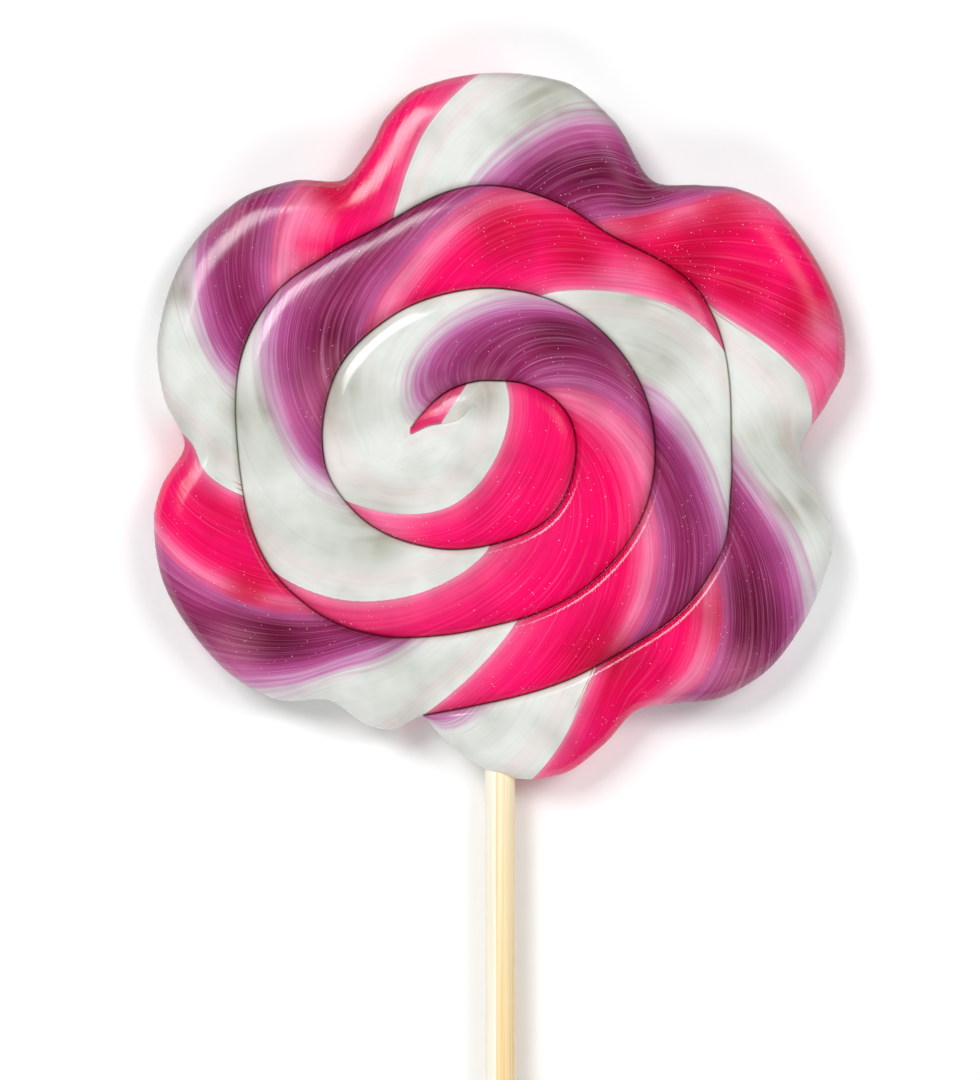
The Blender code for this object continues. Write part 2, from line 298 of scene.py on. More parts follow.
def top_height(points, crease_line, rim_line, fold_line):
    to_crease, along_crease, side = crease_line
    to_fold, along_fold, fold_side = fold_line
    to_rim = rim_gap(points, rim_line[0])
    fade = np.clip(along_crease * OUTLINE_START / CREASE_FADE_IN, 0, 1)
    shoulder = np.where(side < 0, CREASE_SHOULDER_INSIDE, CREASE_SHOULDER_OUTSIDE)
    crease = CREASE_DEPTH * fade * rounded_drop(to_crease, shoulder)
    crown = CROWN_DEPTH * fade * np.clip(1 - to_crease / CROWN_REACH, 0, 1) ** 2
    fold_fade = np.sqrt(np.clip(4 * along_fold * (1 - along_fold), 0, 1))
    fold_reach = np.where(fold_side > 0, FOLD_LAP, FOLD_DISH)
    fold = FOLD_DEPTH * fold_fade * np.clip(1 - to_fold / fold_reach, 0, 1) ** 2
    rim = RIM_DEPTH * rounded_drop(to_rim, RIM_SHOULDER)
    middle = THICKNESS_MIDDLE - THICKNESS_LOST_AT_RIM * (np.linalg.norm(points, axis=1) / HEAD_RADIUS) ** 2
    return middle - np.maximum(crease, fold) - crown * (1 - rim / RIM_DEPTH) - rim


def back_height(points, crease_line, rim_line, fold_line):
    crease = BACK_CREASE_DEPTH * np.clip(1 - crease_line[0] / BACK_CREASE_SHOULDER, 0, 1)
    rim = BACK_RIM_HEIGHT * rounded_drop(rim_line[0], BACK_RIM_SHOULDER)
    return np.maximum(crease, rim)


def stripe_at(degrees, across):
    """Which stripe the rope shows at these turned degrees, as a number that rises by 1 for each stripe."""
    bounds = []
    for inner, outer, late in STRIPES:
        sweep = np.where(across >= 0, np.abs(across) ** late, across)
        bounds.append(inner + (outer - inner) * sweep)
    below = bounds[0] - FIRST_SWEEP
    number = np.full(len(degrees), STRIPES_START - 1.0)
    number += np.clip((degrees - below) / FIRST_SWEEP, 0, 1)
    for before, after in zip(bounds, bounds[1:]):
        number += np.clip((degrees - before) / (after - before), 0, 1)
    return number


def curl_stripe_at(points):
    """The same number in the first curl, where pink lies on one side of its edge and white on the other."""
    gap, along, side = distance_to(CURL_EDGE, points)
    number = np.minimum(STRIPES_START + side * gap / CURL_STRIPE_WIDTH, TIP_WHITE_MOST)
    fold_gap, _, fold_side = distance_to(FOLD, points)
    start = np.array(TIP_PINK_EDGE[0])
    run = np.array(TIP_PINK_EDGE[1]) - start
    offset = points - start
    past_edge = (run[0] * offset[:, 1] - run[1] * offset[:, 0]) / np.linalg.norm(run)
    in_tip = np.minimum(np.minimum(past_edge, fold_side * fold_gap), points[:, 0] - TIP_START_X)
    return np.minimum(number, STRIPES_START - in_tip / TIP_STRIPE_WIDTH), along * CURL_LENGTH


def strength_at(points, places):
    """How strongly some round, soft-edged places show at each point, 0 to 1."""
    strength = np.zeros(len(points))
    for x, y, reach in places:
        gap = np.linalg.norm(points - np.array((x, y)), axis=1)
        strength = np.maximum(strength, eased(PLACE_EDGE - gap / reach))
    return strength


class Side:
    """One side of the pressed swirl: turns of rope laid side by side, round a cap in the middle."""

    def __init__(self, height, across, cap_rings):
        self.height = height
        self.across = across
        self.last = round(ROPE_END / STEP)
        self.places = []
        self.faces = []
        self.corners = []
        self.edge = self.add([on_clock(k * STEP, EDGE_RADIUS(k * STEP)) for k in range(self.last)])
        self.edge.append(self.edge[self.last - COLUMNS])
        self.lay_rope()
        self.lay_cap(cap_rings)

    def add(self, places):
        first = len(self.places)
        self.places += list(places)
        return list(range(first, len(self.places)))

    def face(self, verts, corners):
        self.faces.append(verts)
        self.corners += corners

    def column(self, k):
        """Points across the rope at one angle, closer together near its edges, and each one's share."""
        degrees = k * STEP
        inside = EDGE_RADIUS(degrees - TURN)
        outside = EDGE_RADIUS(degrees)
        rounded = [(1 - math.cos(math.pi * j / self.across)) / 2 for j in range(self.across + 1)]
        shares = [
            CLOSER_AT_EDGES * share + (1 - CLOSER_AT_EDGES) * j / self.across
            for j, share in enumerate(rounded)
        ]
        places = [on_clock(degrees, inside + (outside - inside) * share) for share in shares[1:-1]]
        return [self.edge[k - COLUMNS], *self.add(places), self.edge[k]], shares

    def lay_rope(self):
        here, shares = self.column(COLUMNS)
        self.first_column = here
        for k in range(COLUMNS, self.last - 1):
            ahead, _ = self.column(k + 1)
            a = k * STEP
            b = a + STEP
            for j in range(self.across):
                s, t = shares[j], shares[j + 1]
                self.face((here[j], ahead[j], ahead[j + 1], here[j + 1]), [(a, s), (b, s), (b, t), (a, t)])
            here = ahead
        a = (self.last - 1) * STEP
        for j in range(self.across):
            s, t = shares[j], shares[j + 1]
            self.face((here[j], self.edge[self.last], here[j + 1]), [(a, s), (a + STEP, s), (a, t)])

    def lay_cap(self, rings):
        loop = self.edge[: COLUMNS + 1] + self.first_column[-2:0:-1]
        rim = np.array([self.places[v] for v in loop]) - CAP_MIDDLE
        ring = loop
        for i in range(1, rings):
            share = 1 - (i / rings) ** CAP_SPACING
            inside = self.add([tuple(p) for p in rim * share + CAP_MIDDLE])
            for a in range(len(loop)):
                b = (a + 1) % len(loop)
                self.face((ring[b], ring[a], inside[a], inside[b]), [None] * 4)
            ring = inside
        middle = self.add([CAP_MIDDLE])[0]
        for a in range(len(ring)):
            self.face((ring[(a + 1) % len(ring)], ring[a], middle), [None] * 3)

    def outline(self):
        return self.edge[self.last - COLUMNS : self.last]

    def measure(self):
        """Height of every point, and how far it is from the creases and from the rim. The fold counts as a
        crease, with its gap stretched so that its painted shade is thinner.
        """
        points = np.array(self.places)
        crease_line = distance_to(CREASE, points)
        rim_line = distance_to(OUTLINE, points)
        fold_line = distance_to(FOLD, points)
        heights = self.height(points, crease_line, rim_line, fold_line)
        towards_end = np.abs(2 * fold_line[1] - 1) ** 3
        to_fold = fold_line[0] * FOLD_THIN + FOLD_PALE + FOLD_END_PALE * towards_end
        return heights, np.minimum(crease_line[0], to_fold), rim_line[0]


def flow_numbers(points, ropes):
    """For every face corner: its stripe number, and mm along the stripe."""
    on_rope = np.array([rope is not None for rope in ropes])
    degrees = np.array([rope[0] if rope else 0.0 for rope in ropes])
    shares = np.array([rope[1] if rope else 0.0 for rope in ropes])
    stripe = np.empty(len(points))
    along = np.empty(len(points))
    stripe[on_rope] = stripe_at(degrees[on_rope], shares[on_rope])
    along[on_rope] = shares[on_rope] * ALONG_CROSSING + degrees[on_rope] * ALONG_DEGREE

    cap = ~on_rope
    cap_points = points[cap] + (np.array(CAP_MIDDLE) - points[cap]) * CAP_NUDGE
    turned = np.degrees(np.arctan2(cap_points[:, 1], -cap_points[:, 0])) % TURN
    edge = np.array([EDGE_RADIUS(t) for t in turned])
    half = ROPE_STRIPES_INSIDE * edge
    share = (np.linalg.norm(cap_points, axis=1) - half) / half
    rope_stripe = stripe_at(turned, np.clip(share, -1, 1))
    curl_stripe, curl_along = curl_stripe_at(cap_points)
    late = eased((turned - ROPE_STRIPES_FROM) / ROPE_STRIPES_OVER) * np.clip(share / ROPE_STRIPES_FADE, 0, 1)
    stripe[cap] = curl_stripe + (rope_stripe - curl_stripe) * late
    along[cap] = curl_along + (share * ALONG_CROSSING + turned * ALONG_DEGREE - curl_along) * late
    return stripe, along


def twisted_on(corner):
    """On the back, the outer turn's stripes start where the side wall has brought them."""
    if corner is None:
        return None
    degrees, share = corner
    towards_outline = (degrees - TWIST_ON_FROM) / (OUTLINE_START - TWIST_ON_FROM)
    return degrees, share * (1 + TWIST_ON * min(max(towards_outline, 0), 1))


def link_to_scene(name, mesh):
    obj = bpy.data.objects.new(name, mesh)
    bpy.context.scene.collection.objects.link(obj)
    return obj


def joined_sides(top, back):
    """One skin of both sides, with the back's faces turned over to look down."""
    heights, to_crease, to_rim = (list(np.concatenate(pair)) for pair in zip(top.measure(), back.measure()))
    skin = SimpleNamespace(
        places=top.places + back.places,
        heights=heights,
        to_crease=to_crease,
        to_rim=to_rim,
        faces=list(top.faces),
        corners=list(top.corners),
    )
    shift = len(top.places)
    at = 0
    for face in back.faces:
        skin.faces.append(tuple(v + shift for v in reversed(face)))
        skin.corners += [twisted_on(corner) for corner in reversed(back.corners[at : at + len(face)])]
        at += len(face)
    return skin


def add_wall(skin, outline, low, first):
    """The side wall, as rings between the two outlines. On it, the gap to the rim counts below 0."""
    ring = outline
    tall = [skin.heights[a] - skin.heights[b] for a, b in zip(outline, low)]
    for i in range(1, SIDE_RINGS + 1):
        share = i / SIDE_RINGS
        below = low
        if i < SIDE_RINGS:
            below = list(range(len(skin.places), len(skin.places) + COLUMNS))
            skin.places += [skin.places[v] for v in outline]
            skin.heights += [skin.heights[v] - height * share for v, height in zip(outline, tall)]
            skin.to_crease += [skin.to_crease[v] for v in outline]
            skin.to_rim += [-min(share, 1 - share) * height for height in tall]
        upper = 1 + TWIST_ON * (i - 1) / SIDE_RINGS
        lower = 1 + TWIST_ON * share
        for a in range(COLUMNS):
            b = (a + 1) % COLUMNS
            skin.faces.append((ring[a], ring[b], below[b], below[a]))
            t = (first + a) * STEP
            skin.corners += [(t, upper), (t + STEP, upper), (t + STEP, lower), (t, lower)]
        ring = below


def build_candy():
    top = Side(top_height, TOP_ACROSS, TOP_CAP_RINGS)
    back = Side(back_height, BACK_ACROSS, BACK_CAP_RINGS)
    skin = joined_sides(top, back)
    add_wall(skin, top.outline(), [v + len(top.places) for v in back.outline()], top.last - COLUMNS)

    mesh = bpy.data.meshes.new("pulled_candy")
    across = INSIDE_BOX * MM
    upwards = INSIDE_TOP * MM
    verts = [(x * across, y * across, z * upwards) for (x, y), z in zip(skin.places, skin.heights)]
    mesh.from_pydata(verts, [], skin.faces)
    order = np.array([v for face in skin.faces for v in face])
    points = np.array(skin.places)
    maps = {
        "flow": flow_numbers(points[order], skin.corners),
        "edges": (np.array(skin.to_crease)[order], np.array(skin.to_rim)[order]),
        "tints": (strength_at(points, DEEP_PLACES)[order], strength_at(points, AIRY_AND_PAINTED_LIGHT_PLACES)[order]),
    }
    for name, pair in maps.items():
        layer = mesh.uv_layers.new(name=name)
        layer.data.foreach_set("uv", np.stack(pair, axis=1).astype(np.float32).ravel())
    mesh.shade_smooth()
    return link_to_scene("pulled_candy", mesh)


# Kinds of node, and settings, that recur.
ATTRIBUTE = "GeometryNodeInputNamedAttribute"
JOINED = "ShaderNodeCombineXYZ"
MATERIAL_OUT = "ShaderNodeOutputMaterial"
MATH = "ShaderNodeMath"
MIX = "ShaderNodeMix"
NOISE = "ShaderNodeTexNoise"
PARTS = "ShaderNodeSeparateXYZ"
PRINCIPLED = "ShaderNodeBsdfPrincipled"
RAMP = "ShaderNodeValToRGB"
RANGE = "ShaderNodeMapRange"
TO_POSITION = "GeometryNodeSetPosition"
VECTORS = "ShaderNodeVectorMath"
AS_COLOUR = {"data_type": "RGBA"}
AS_VECTOR = {"data_type": "FLOAT_VECTOR"}
SCALED = {"operation": "SCALE"}
SMOOTH = {"interpolation_type": "SMOOTHSTEP"}
TIMES = {"operation": "MULTIPLY"}
PLUS = {"operation": "ADD"}
MINUS = {"operation": "SUBTRACT"}
OVER = {"operation": "DIVIDE"}
FRACTION = {"operation": "FRACT"}
TIMES_PLUS = {"operation": "MULTIPLY_ADD"}
HELD_PLUS = {"operation": "ADD", "use_clamp": True}
HELD_TIMES = {"operation": "MULTIPLY", "use_clamp": True}
HELD_TIMES_PLUS = {"operation": "MULTIPLY_ADD", "use_clamp": True}


def add(tree, kind, settings=None, inputs=(), stops=()):
    """Adds a node with its settings and colour stops, and returns its outputs.

    Inputs come by order or by name, each a value or a socket to link it from.
    """
    node = tree.nodes.new(kind)
    for name, value in (settings or {}).items():
        setattr(node, name, value)
    named = inputs if isinstance(inputs, dict) else dict(enumerate(inputs))
    for key, value in named.items():
        if isinstance(value, bpy.types.NodeSocket):
            tree.links.new(value, node.inputs[key])
        else:
            node.inputs[key].default_value = value
    if stops:
        elements = node.color_ramp.elements
        elements.remove(elements[-1])
        elements[0].position = stops[0][0]
        elements[0].color = rgb(stops[0][1])
        for place, code in stops[1:]:
            elements.new(place).color = rgb(code)
    return node.outputs


def product(tree, amount, *others):
    """Amounts multiplied together, one after the other."""
    for other in others:
        amount = add(tree, MATH, TIMES, (amount, other))[0]
    return amount


def band(tree, turn, starts, ends, left=0.0):
    """1 in one colour's part of a round of stripes, and what is left of it past its end."""
    rise = add(tree, RANGE, SMOOTH, (turn, *starts))[0]
    fall = add(tree, RANGE, SMOOTH, (turn, *ends, 1.0, left))[0]
    return product(tree, rise, fall)


def new_material(name):
    material = bpy.data.materials.new(name)
    material.use_nodes = True
    material.node_tree.nodes.clear()
    return material, material.node_tree


def start_tree(name, inputs):
    """A Geometry Nodes tree with a mesh in and out, and named numbers with their starting values."""
    tree = bpy.data.node_groups.new(name, "GeometryNodeTree")
    tree.interface.new_socket("Geometry", in_out="INPUT", socket_type="NodeSocketGeometry")
    tree.interface.new_socket("Geometry", in_out="OUTPUT", socket_type="NodeSocketGeometry")
    for label, value in inputs.items():
        kind = "NodeSocketInt" if isinstance(value, int) else "NodeSocketFloat"
        tree.interface.new_socket(label, in_out="INPUT", socket_type=kind).default_value = value
    return tree, add(tree, "NodeGroupInput")


def end_tree(tree, geometry, material):
    """Every tree ends in real faces with their material on them."""
    real = add(tree, "GeometryNodeRealizeInstances", {}, {"Geometry": geometry})[0]
    dressed = add(tree, "GeometryNodeSetMaterial", {}, {"Geometry": real, "Material": material})[0]
    add(tree, "NodeGroupOutput", {}, (dressed,))


def grown(name, start_mesh, tree, values):
    """A plain mesh object: what the tree makes of a starting mesh with these values."""
    obj = link_to_scene(name, start_mesh)
    modifier = obj.modifiers.new(tree.name, "NODES")
    modifier.node_group = tree
    for item in tree.interface.items_tree:
        if item.item_type == "SOCKET" and item.in_out == "INPUT" and item.name in values:
            modifier[item.identifier] = values[item.name]
    graph = bpy.context.evaluated_depsgraph_get()
    mesh = bpy.data.meshes.new_from_object(
        obj.evaluated_get(graph), preserve_all_data_layers=True, depsgraph=graph
    )
    if not mesh.polygons:
        raise ValueError(f"{name} came out empty")
    obj.modifiers.remove(modifier)
    obj.data = mesh
    mesh.name = name
    return obj


# White, purple and pink follow one another. Where a place lies in one round of the three is 0 to 1.
STRIPE_KINDS = 3.0

# Pulling leaves the rope with low ridges along its stripes, about 1 mm apart on the broad ones.
RIDGES_TO_A_STRIPE = 9.0
RIDGES_TO_A_MM = 0.04
RIDGE_DEPTH = 0.07
RIDGE_SEED = 4.0
RIDGE_CLEAR_OF_CREASE = (0.5, 1.6)
RIDGE_CLEAR_OF_RIM = (0.4, 2.2)


def ridge_tree(material):
    tree, given = start_tree("drawn_ridges", {"Depth": 0.0, "Ridges": 1.0, "Seed": 0.0})
    flow = add(tree, PARTS, {}, (add(tree, ATTRIBUTE, AS_VECTOR, {"Name": "flow"})[0],))
    edges = add(tree, PARTS, {}, (add(tree, ATTRIBUTE, AS_VECTOR, {"Name": "edges"})[0],))
    across = product(tree, flow["X"], given["Ridges"])
    along = product(tree, flow["Y"], RIDGES_TO_A_MM)
    place = add(tree, JOINED, {}, (across, along, given["Seed"]))[0]
    noise = add(tree, NOISE, {}, {"Vector": place, "Scale": 1.0, "Detail": 2.0, "Roughness": 0.55})[0]
    clear_of_crease = add(tree, RANGE, SMOOTH, (edges["X"], *RIDGE_CLEAR_OF_CREASE))[0]
    clear_of_rim = add(tree, RANGE, SMOOTH, (edges["Y"], *RIDGE_CLEAR_OF_RIM))[0]
    depth = product(tree, noise, given["Depth"], product(tree, clear_of_crease, clear_of_rim), -MM)
    normal = add(tree, "GeometryNodeInputNormal")[0]
    inwards = add(tree, VECTORS, SCALED, {0: normal, "Scale": depth})[0]
    moved = add(tree, TO_POSITION, {}, {"Geometry": given["Geometry"], "Offset": inwards})[0]
    end_tree(tree, moved, material)
    return tree


# Air beaten into the sugar leaves specks, which show most in the dark stripes. The real ones are
# up to about 0.15 mm across, and those under 0.06 mm are left out, as they wouldn't show.
SPECKS_TO_A_CM2 = 48.0
CM2_TO_A_M2 = 10000.0
SPECK_RADIUS = (0.03, 0.075)
SPECK_SINK = 0.03
SPECK_SEED = 5
# In white there are this few of them, and purple starts here in a round of stripes.
SPECKS_IN_WHITE = 0.12
SPECKS_FROM = (0.33, 0.42)
# They lie in drifts about 7 mm across, thin in places and thick in others, and only on upward faces.
DRIFTS_TO_A_M = 140.0
DRIFT_STEP = (0.4, 0.65)
DRIFT_AMOUNT = (0.25, 1.6)
SPECK_UPWARD = 0.25


def speck_tree(material):
    start = {"Specks to a cm2": 1.0, "Smallest": 0.01, "Largest": 0.02, "Sink": 0.0, "Seed": 0}
    tree, given = start_tree("air_specks", start)
    flow = add(tree, PARTS, {}, (add(tree, ATTRIBUTE, AS_VECTOR, {"Name": "flow"})[0],))
    turn = add(tree, MATH, FRACTION, (add(tree, MATH, OVER, (flow["X"], STRIPE_KINDS))[0],))[0]
    dark = add(tree, RANGE, SMOOTH, (turn, *SPECKS_FROM, SPECKS_IN_WHITE, 1.0))[0]
    here = add(tree, "GeometryNodeInputPosition")[0]
    drifts = add(tree, NOISE, {}, {"Vector": here, "Scale": DRIFTS_TO_A_M, "Detail": 1.0})[0]
    thick = add(tree, RANGE, SMOOTH, (drifts, *DRIFT_STEP, *DRIFT_AMOUNT))[0]
    often = product(tree, product(tree, dark, thick), given["Specks to a cm2"], CM2_TO_A_M2)
    normal = add(tree, PARTS, {}, (add(tree, "GeometryNodeInputNormal")[0],))
    upward = add(tree, MATH, {"operation": "GREATER_THAN"}, (normal["Z"], SPECK_UPWARD))[0]
    scattered = {"Mesh": given["Geometry"], "Selection": upward, "Density": often, "Seed": given["Seed"]}
    points = add(tree, "GeometryNodeDistributePointsOnFaces", {}, scattered)["Points"]
    down = add(tree, JOINED, {}, {"Z": product(tree, given["Sink"], -MM)})[0]
    sunk = add(tree, TO_POSITION, {}, {"Geometry": points, "Offset": down})[0]
    speck = add(tree, "GeometryNodeMeshIcoSphere", {}, {"Radius": MM, "Subdivisions": 1})["Mesh"]
    sizes = {"Min": given["Smallest"], "Max": given["Largest"], "Seed": given["Seed"]}
    size = add(tree, "FunctionNodeRandomValue", {"data_type": "FLOAT"}, sizes)["Value"]
    laid = {"Points": sunk, "Instance": speck, "Scale": size}
    end_tree(tree, add(tree, "GeometryNodeInstanceOnPoints", {}, laid)[0], material)
    return tree


# Fibres stand up as ribs about 0.3 mm apart where the split bamboo was turned round.
STICK_SIDES = 96
STICK_RINGS = 260
FIBRE_WIDTH = 0.3
FIBRE_DEPTH = 0.05
FIBRES_TO_A_M = 25.0
STICK_CHAMFER = 0.3
STICK_SHARP_ANGLE = 40


def stick_tree(material):
    start = {"Length": 1.0, "Radius": 1.0, "Fibre width": 1.0, "Fibre depth": 0.0, "Chamfer": 0.0}
    tree, given = start_tree("fibre_stick", start)
    far_end = add(tree, JOINED, {}, {"Y": given["Length"]})[0]
    line = add(tree, "GeometryNodeCurvePrimitiveLine", {}, {"End": far_end})[0]
    rings = add(tree, "GeometryNodeResampleCurve", {}, {"Curve": line, "Count": STICK_RINGS})[0]
    outline = {"Resolution": STICK_SIDES, "Radius": given["Radius"]}
    profile = add(tree, "GeometryNodeCurvePrimitiveCircle", {}, outline)[0]
    swept = {"Curve": rings, "Profile Curve": profile, "Fill Caps": True}
    rod = add(tree, "GeometryNodeCurveToMesh", {}, swept)[0]
    place = add(tree, PARTS, {}, (add(tree, "GeometryNodeInputPosition")[0],))
    across = add(tree, MATH, OVER, (place["X"], given["Fibre width"]))[0]
    along = product(tree, place["Y"], FIBRES_TO_A_M)
    upwards = add(tree, MATH, OVER, (place["Z"], given["Fibre width"]))[0]
    fibre_place = add(tree, JOINED, {}, (across, along, upwards))[0]
    noise = add(tree, NOISE, {}, {"Vector": fibre_place, "Scale": 1.0, "Detail": 2.0})[0]
    to_far_end = add(tree, MATH, MINUS, (given["Length"], place["Y"]))[0]
    to_end = add(tree, MATH, {"operation": "MINIMUM"}, (place["Y"], to_far_end))[0]
    cut = add(tree, MATH, MINUS, (given["Chamfer"], to_end))[0]
    cut = add(tree, MATH, {"operation": "MAXIMUM"}, (cut, 0.0))[0]
    drop = add(tree, MATH, TIMES_PLUS, (noise, given["Fibre depth"], cut))[0]
    off_axis = add(tree, JOINED, {}, {"X": place["X"], "Z": place["Z"]})[0]
    outwards = add(tree, VECTORS, {"operation": "NORMALIZE"}, (off_axis,))[0]
    inwards = add(tree, VECTORS, SCALED, {0: outwards, "Scale": product(tree, drop, -1.0)})[0]
    ribbed = add(tree, TO_POSITION, {}, {"Geometry": rod, "Offset": inwards})[0]
    end_tree(tree, ribbed, material)
    return tree


def build_stick(material):
    """The stick fills the box of the node that it stands for."""
    low, high = (Vector(corner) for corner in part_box("bamboo_stick"))
    middle = (low + high) / 2
    tree = stick_tree(material)
    values = {
        "Length": high.y - low.y,
        "Radius": (high.x - low.x) / 2,
        "Fibre width": FIBRE_WIDTH * MM,
        "Fibre depth": FIBRE_DEPTH * MM,
        "Chamfer": STICK_CHAMFER * MM,
    }
    stick = grown("fibre_stick", bpy.data.meshes.new("fibre_stick"), tree, values)
    for vertex in stick.data.vertices:
        vertex.co += Vector((middle.x, low.y, middle.z))
    stick.data.shade_smooth()
    stick.data.set_sharp_from_angle(angle=math.radians(STICK_SHARP_ANGLE))
    return stick


# Streaks drawn out along the stripes: how many to a stripe, how many to a mm of its length, their
# detail and a shift. A broad stripe is about 10 mm wide, so the silk lines lie about 0.5 mm apart
# and the hairs about 0.2 mm. The real hairs are finer still, and are drawn as coarse as they need to show.
BROAD = (5.0, 0.05, 2.0, 3.0)
SILK = (22.0, 0.06, 3.0, 11.0)
HAIR = (60.0, 0.07, 2.0, 23.0)
# Clouds of air, about 9 mm across.
CLOUDS_TO_A_M = 110.0
# How far the streaks push a stripe's border to and fro, as shares of a stripe.
BROAD_PUSH = 0.20
SILK_PUSH = 0.34
# Purple meets pink with less of that push, from here on in a round of stripes.
LESS_PUSH_FROM = (0.5, 0.62)
LESS_PUSH = 0.45

STRIPE_COLOURS = [
    (0.0, "e5e8e4"), (0.25, "e2e5e0"), (0.29, "d3bccb"), (0.325, "c884b4"), (0.36, "b04a8a"),
    (0.42, "962b6a"), (0.49, "8a1f57"), (0.56, "95275f"), (0.61, "ad427f"), (0.65, "c15a95"),
    (0.666, "e05c8f"), (0.695, "fb82ac"), (0.73, "fb4484"), (0.77, "fb0564"), (0.90, "fc066a"),
    (0.96, "fa3a80"), (1.0, "f7608f"),
]
# Pink meets white on a clean line.
CLEAN_COLOURS = [
    (0.0, "e5e8e4"), (0.004, "e5e8e4"), (0.80, "fb0664"), (0.93, "fa1a70"), (0.98, "f74d87"),
    (1.0, "f08bac"),
]
CLEAN_FROM = (0.86, 0.92)
CLEAN_UNTIL = (0.06, 0.12)
# Where in a round each colour fades in and out.
WHITE_ENDS = (0.27, 0.36)
PURPLE_STARTS = (0.30, 0.36)
PURPLE_ENDS = (0.63, 0.68)
DARK_STARTS = (0.36, 0.44)
DARK_ENDS = (0.58, 0.66)
PINK_STARTS = (0.67, 0.73)
PINK_ENDS = (0.93, 0.99)
# This much of the purple's silk shows on the pink next to it.
PURPLE_LEFT = 0.06
# Amounts that follow the place in a round, noise or a gap in mm: from, to, and the amount at each.
DEEP_PINK = (0.635, 0.68, 0.0, 0.85)
GREY_CLOUDS = (0.35, 0.62, 0.15, 1.0)
GREY_STREAKS = (0.3, 0.6, 0.6, 1.0)
PALE_PLACES_ON_SILK = (0.35, 0.6, 0.6, 1.0)
# A place of that list is paler in pink than in purple: times this, and with this added.
PALE_PLACES_IN_PINK = (0.4, 0.5)
# Painted shade down in the creases and next to them, by the gap in mm.
PAINTED_CREASE_SHADE = (0.04, 0.24, 0.9, 0.0)
PAINTED_SHADE_NEXT_TO_CREASE = (0.1, 1.7, 0.5, 0.0)
# Painted shade round the rim: gap in mm, which counts below 0 on the wall.
RIM_SHADE = (0.1, 1.4, 0.65, 0.0)
RIM_SHADE_ABOVE_WALL = (-1.4, -0.1, 0.0, 1.0)
GLAZE_OFF_CREASE = (0.15, 0.9, 0.4, 0.95)
GLAZE_OFF_RIM = (0.1, 0.9, 0.25, 1.0)
GLAZE_ON_WALL = (-0.9, -0.3, 1.0, 0.25)
# The rim's painted shade is stronger on the side away from the stick: from and to in metres.
RIM_SHADE_FAR_SIDE = (-0.005, 0.02, 0.12, 1.0)
# Lines cut out of noise: how steeply it rises or falls, and what is added.
SILK_LINE = (2.6, -1.35)
THREAD = (3.4, -1.85)
THIN_LINE = (-2.2, 1.15)
FAINT_LINE = (-2.4, 1.25)
DIM_CLOUD = (-2.6, 1.5)
# How strongly the lines show.
THREAD_ON_PURPLE = 0.55
SILK_ON_PURPLE = 0.35
THREAD_ON_PINK = 0.26
THIN_ON_COLOUR = 0.6
FAINT_ON_WHITE = 0.3
# How far they stand up, and in colour against white: times this, and with this added.
HAIR_HEIGHT = 0.45
SILK_HEIGHT = 0.55
HEIGHT_IN_COLOUR = (0.7, 0.3)
SILK_ROUGHNESS = (0.2, 0.2)
# The light that these add to the colour under them, or leave of it.
DEEP_PURPLE_LEAVES = (0.52, 0.28, 0.36, 1)
# Pale added to pink and purple: air, and in some places painted highlight.
PALE_AND_PAINTED_LIGHT_ADDS = (0.55, 0.18, 0.27, 1)
SILK_ADDS = (0.46, 0.20, 0.33, 1)
THREAD_ADDS_TO_PINK = (0.30, 0.16, 0.20, 1)
THIN_LINE_LEAVES = (0.62, 0.46, 0.54, 1)
# Painted shade: next to the creases, down in them, and round the rim.
CREASE_SIDE_SHADE_LEAVES = (0.60, 0.42, 0.46, 1)
COLOURED_CREASE_SHADE_LEAVES = (0.27, 0.09, 0.09, 1)
WHITE_CREASE_SHADE_LEAVES = (0.40, 0.37, 0.31, 1)
RIM_SHADE_LEAVES = (0.42, 0.33, 0.36, 1)


def sugar_streaks(tree, flow, across, along, detail, shift):
    """Noise drawn out along the stripes."""
    inputs = {"Vector": flow, "Scale": (across, along, 1), "Location": (shift, shift, 0)}
    drawn = add(tree, "ShaderNodeMapping", {}, inputs)[0]
    inputs = {"Vector": drawn, "Scale": 1.0, "Detail": detail, "Roughness": 0.6}
    return add(tree, NOISE, {"noise_dimensions": "2D"}, inputs)[0]


def sugar_turns(tree, number, broad, silk):
    """Where in a round of stripes a place lies: as it is, and pushed by the streaks."""
    # Pink meets white on a clean line, so there the stripe number is read without the streaks.
    clean = add(tree, MATH, FRACTION, (add(tree, MATH, OVER, (number, STRIPE_KINDS))[0],))[0]
    # The streaks push each stripe's border to and fro, so purple feathers into white.
    push = add(tree, MATH, TIMES_PLUS, (broad, BROAD_PUSH, -BROAD_PUSH / 2))[0]
    silk_push = add(tree, MATH, TIMES_PLUS, (silk, SILK_PUSH, -SILK_PUSH / 2))[0]
    push = add(tree, MATH, PLUS, (push, silk_push))[0]
    push = product(tree, push, add(tree, RANGE, SMOOTH, (clean, *LESS_PUSH_FROM, 1.0, LESS_PUSH))[0])
    pushed = add(tree, MATH, PLUS, (number, push))[0]
    return clean, add(tree, MATH, FRACTION, (add(tree, MATH, OVER, (pushed, STRIPE_KINDS))[0],))[0]


def sugar_stripes(tree, clean, turn):
    striped = add(tree, RAMP, {}, (turn,), STRIPE_COLOURS)[0]
    crisp = add(tree, RAMP, {}, (clean,), CLEAN_COLOURS)[0]
    before_line = add(tree, RANGE, SMOOTH, (clean, *CLEAN_FROM))[0]
    after_line = add(tree, RANGE, SMOOTH, (clean, *CLEAN_UNTIL, 1.0, 0.0))[0]
    near_line = add(tree, MATH, HELD_PLUS, (before_line, after_line))[0]
    return add(tree, MIX, AS_COLOUR, {0: near_line, 6: striped, 7: crisp})[2]


